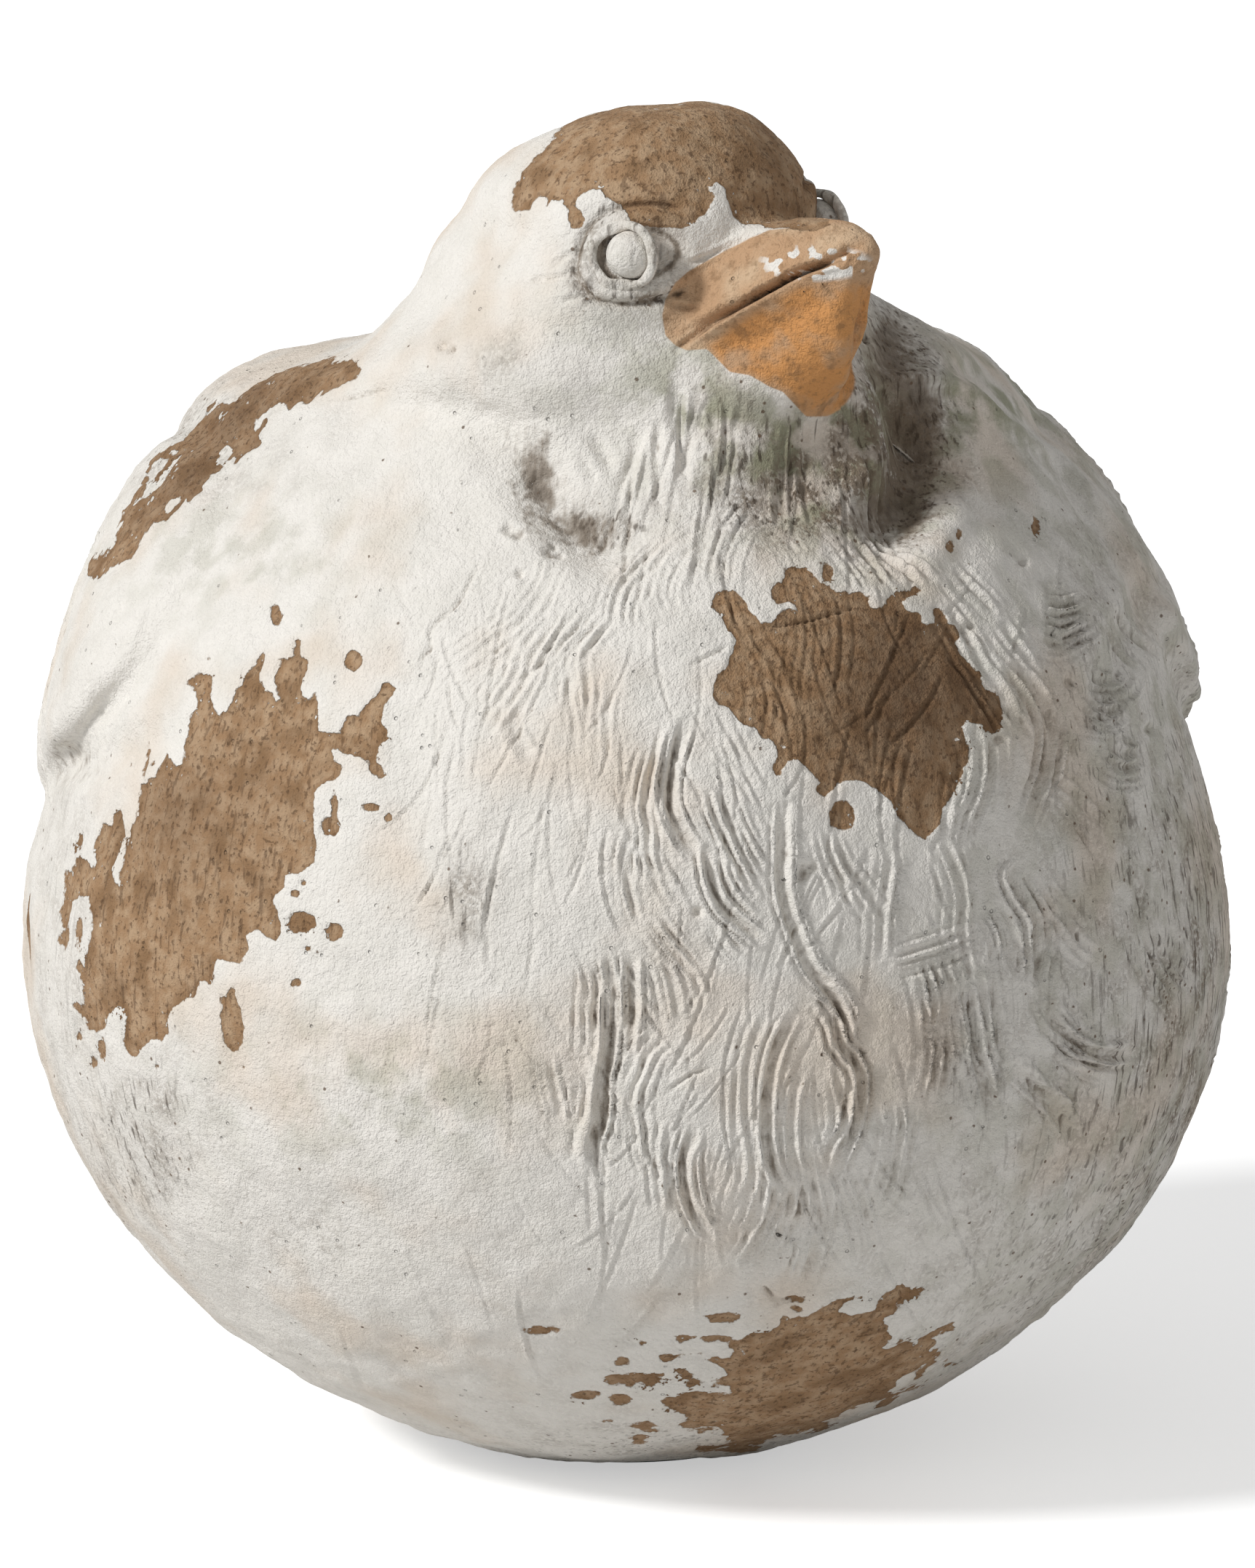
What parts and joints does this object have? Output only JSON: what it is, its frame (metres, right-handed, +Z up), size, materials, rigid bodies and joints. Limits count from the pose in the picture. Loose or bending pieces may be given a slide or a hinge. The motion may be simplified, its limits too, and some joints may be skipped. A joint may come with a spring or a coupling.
{
  "type": "decorative bird sculpture",
  "caption": "Fat round bird sculpture of hollow cast plaster under a worn chalk-white coat, with its head turned and its stout beak raised, on a flat felt-covered base.",
  "frame": {"origin": "centre of the underside of the felt, on the surface that the figure stands on", "axes": "+Z up out of the base, the breast faces -Y, +X is the bird's own left side"},
  "size_m": [0.332, 0.3665, 0.381],
  "materials": {
    "chalk_coat": "chalk-white matte coat over tan plaster, combed, pitted and worn through in patches",
    "beak_tan": "tan wash, matte, worn white at the tip",
    "beak_orange": "orange ochre wash, matte, streaked",
    "bare_plaster": "bare cast plaster",
    "felt": "thin dark wool felt",
    "scrim": "plaster-soaked jute scrim",
    "pin_steel": "bright cut wire"
  },
  "bodies": {
    "root": {"breast_shell": "chalk_coat", "back_shell": "chalk_coat", "head_shell": "chalk_coat", "left_wing": "chalk_coat", "right_wing": "chalk_coat", "tail": "chalk_coat", "left_eyelids": "chalk_coat", "right_eyelids": "chalk_coat", "left_eyeball": "chalk_coat", "right_eyeball": "chalk_coat", "upper_beak": "beak_tan", "lower_beak": "beak_orange", "base_plug": "bare_plaster", "felt_base": "felt", "left_seam_scrim": "scrim", "right_seam_scrim": "scrim", "neck_scrim": "scrim", "upper_beak_pin": "pin_steel", "lower_beak_pin": "pin_steel", "left_wing_pin_1": "pin_steel", "left_wing_pin_2": "pin_steel", "right_wing_pin_1": "pin_steel", "right_wing_pin_2": "pin_steel", "left_tail_pin": "pin_steel", "right_tail_pin": "pin_steel"}
  },
  "joints": []
}
